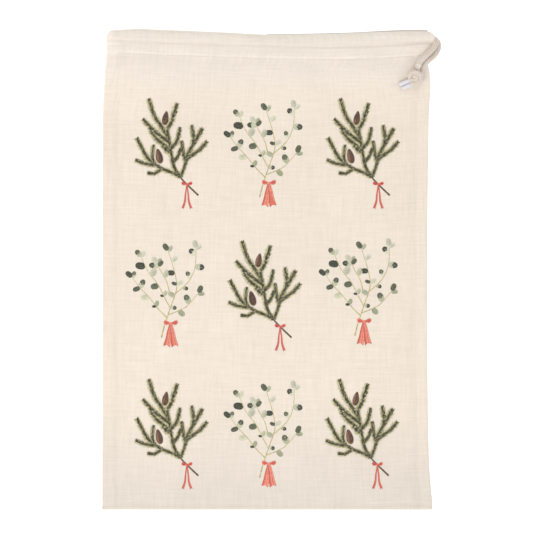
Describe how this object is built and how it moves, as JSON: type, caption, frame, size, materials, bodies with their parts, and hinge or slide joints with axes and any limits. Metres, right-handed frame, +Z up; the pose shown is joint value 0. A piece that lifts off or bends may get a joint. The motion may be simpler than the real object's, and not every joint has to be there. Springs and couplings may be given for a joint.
{
  "type": "drawstring gift pouch",
  "caption": "Flat cotton drawstring pouch with a stitched casing, a knotted cord leaving at one side, and a printed front.",
  "frame": {"origin": "middle of the pouch's underside, on the surface it lies on", "axes": "+X towards the side where the cord leaves, +Y towards the mouth, +Z up out of the printed front"},
  "size_m": [0.2877, 0.408, 0.0199],
  "materials": {
    "printed_cotton": "unbleached plain-weave cotton with a matt print of pine and eucalyptus sprigs",
    "natural_cotton": "unbleached plain-weave cotton, matt",
    "sewing_thread": "spun polyester-cotton sewing thread",
    "cotton_cord": "soft braided cotton cord",
    "white_plastic": "smooth white plastic"
  },
  "bodies": {
    "pouch": {"front_panel": "printed_cotton", "back_panel": "natural_cotton", "bottom_fold": "natural_cotton", "front_casing": "natural_cotton", "back_casing": "natural_cotton", "casing_left_turn": "natural_cotton", "left_seam_allowance": "natural_cotton", "right_seam_allowance": "natural_cotton", "left_seam_thread": "sewing_thread", "right_seam_thread": "sewing_thread", "left_overlock_thread": "sewing_thread", "right_overlock_thread": "sewing_thread", "front_casing_thread": "sewing_thread", "back_casing_thread": "sewing_thread", "front_slit_thread": "sewing_thread", "back_slit_thread": "sewing_thread"},
    "drawstring": {"drawstring_cord": "cotton_cord", "front_tail_cord": "cotton_cord", "back_tail_cord": "cotton_cord", "cord_knot": "cotton_cord", "cord_end_upper": "cotton_cord", "cord_end_lower": "cotton_cord", "aglet_upper": "white_plastic", "aglet_lower": "white_plastic"}
  },
  "joints": [
    {"name": "drawstring_pull", "type": "slide", "parent": "pouch", "child": "drawstring", "axis": [1, 0, 0], "range_m": [0, 0.15], "deforming": ["front_casing", "back_casing", "casing_left_turn", "front_casing_thread", "back_casing_thread", "front_slit_thread", "back_slit_thread"]}
  ]
}
